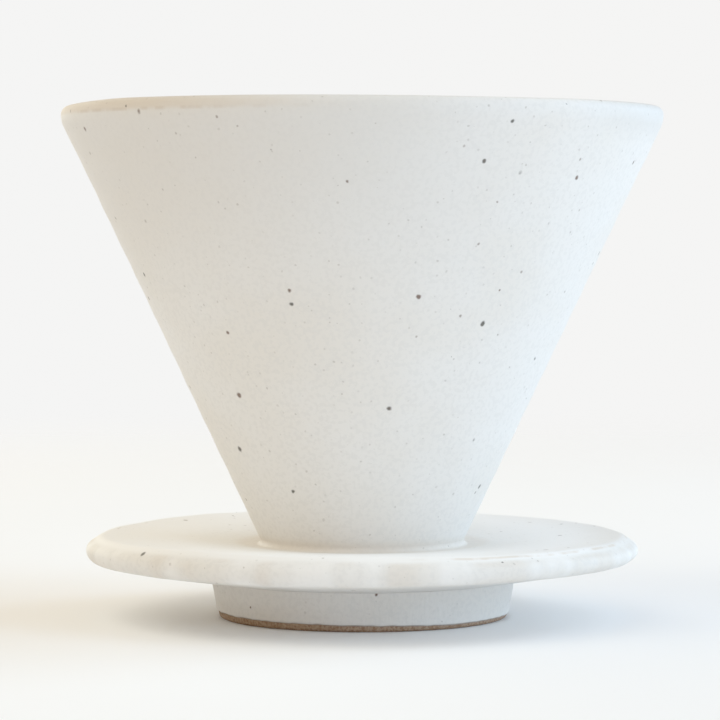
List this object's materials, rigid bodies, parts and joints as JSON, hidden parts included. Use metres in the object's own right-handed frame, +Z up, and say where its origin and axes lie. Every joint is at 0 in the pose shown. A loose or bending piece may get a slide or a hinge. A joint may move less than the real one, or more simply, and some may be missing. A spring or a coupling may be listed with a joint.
{
  "type": "pour over dripper",
  "caption": "Speckled white stoneware coffee dripper: a plain ribbed cone with drain holes, on a round saucer with a foot ring that seats on a mug.",
  "frame": {"origin": "centre of the foot ring's resting face", "axes": "+Z up along the throwing axis, from the foot to the lip; -Y towards the front"},
  "size_m": [0.121, 0.121, 0.1031],
  "materials": {
    "white_glaze": "satin matte white glaze with fine brown specks",
    "bare_stoneware": "unglazed fired stoneware, tan and slightly rough"
  },
  "bodies": {
    "root": {"cone_body": "white_glaze", "saucer": "white_glaze", "foot_ring": "white_glaze", "upper_luting_coil": "white_glaze", "foot_luting_coil": "bare_stoneware", "rib_01": "white_glaze", "rib_02": "white_glaze", "rib_03": "white_glaze", "rib_04": "white_glaze", "rib_05": "white_glaze", "rib_06": "white_glaze", "rib_07": "white_glaze", "rib_08": "white_glaze", "rib_09": "white_glaze", "rib_10": "white_glaze", "rib_11": "white_glaze", "rib_12": "white_glaze"}
  },
  "joints": []
}
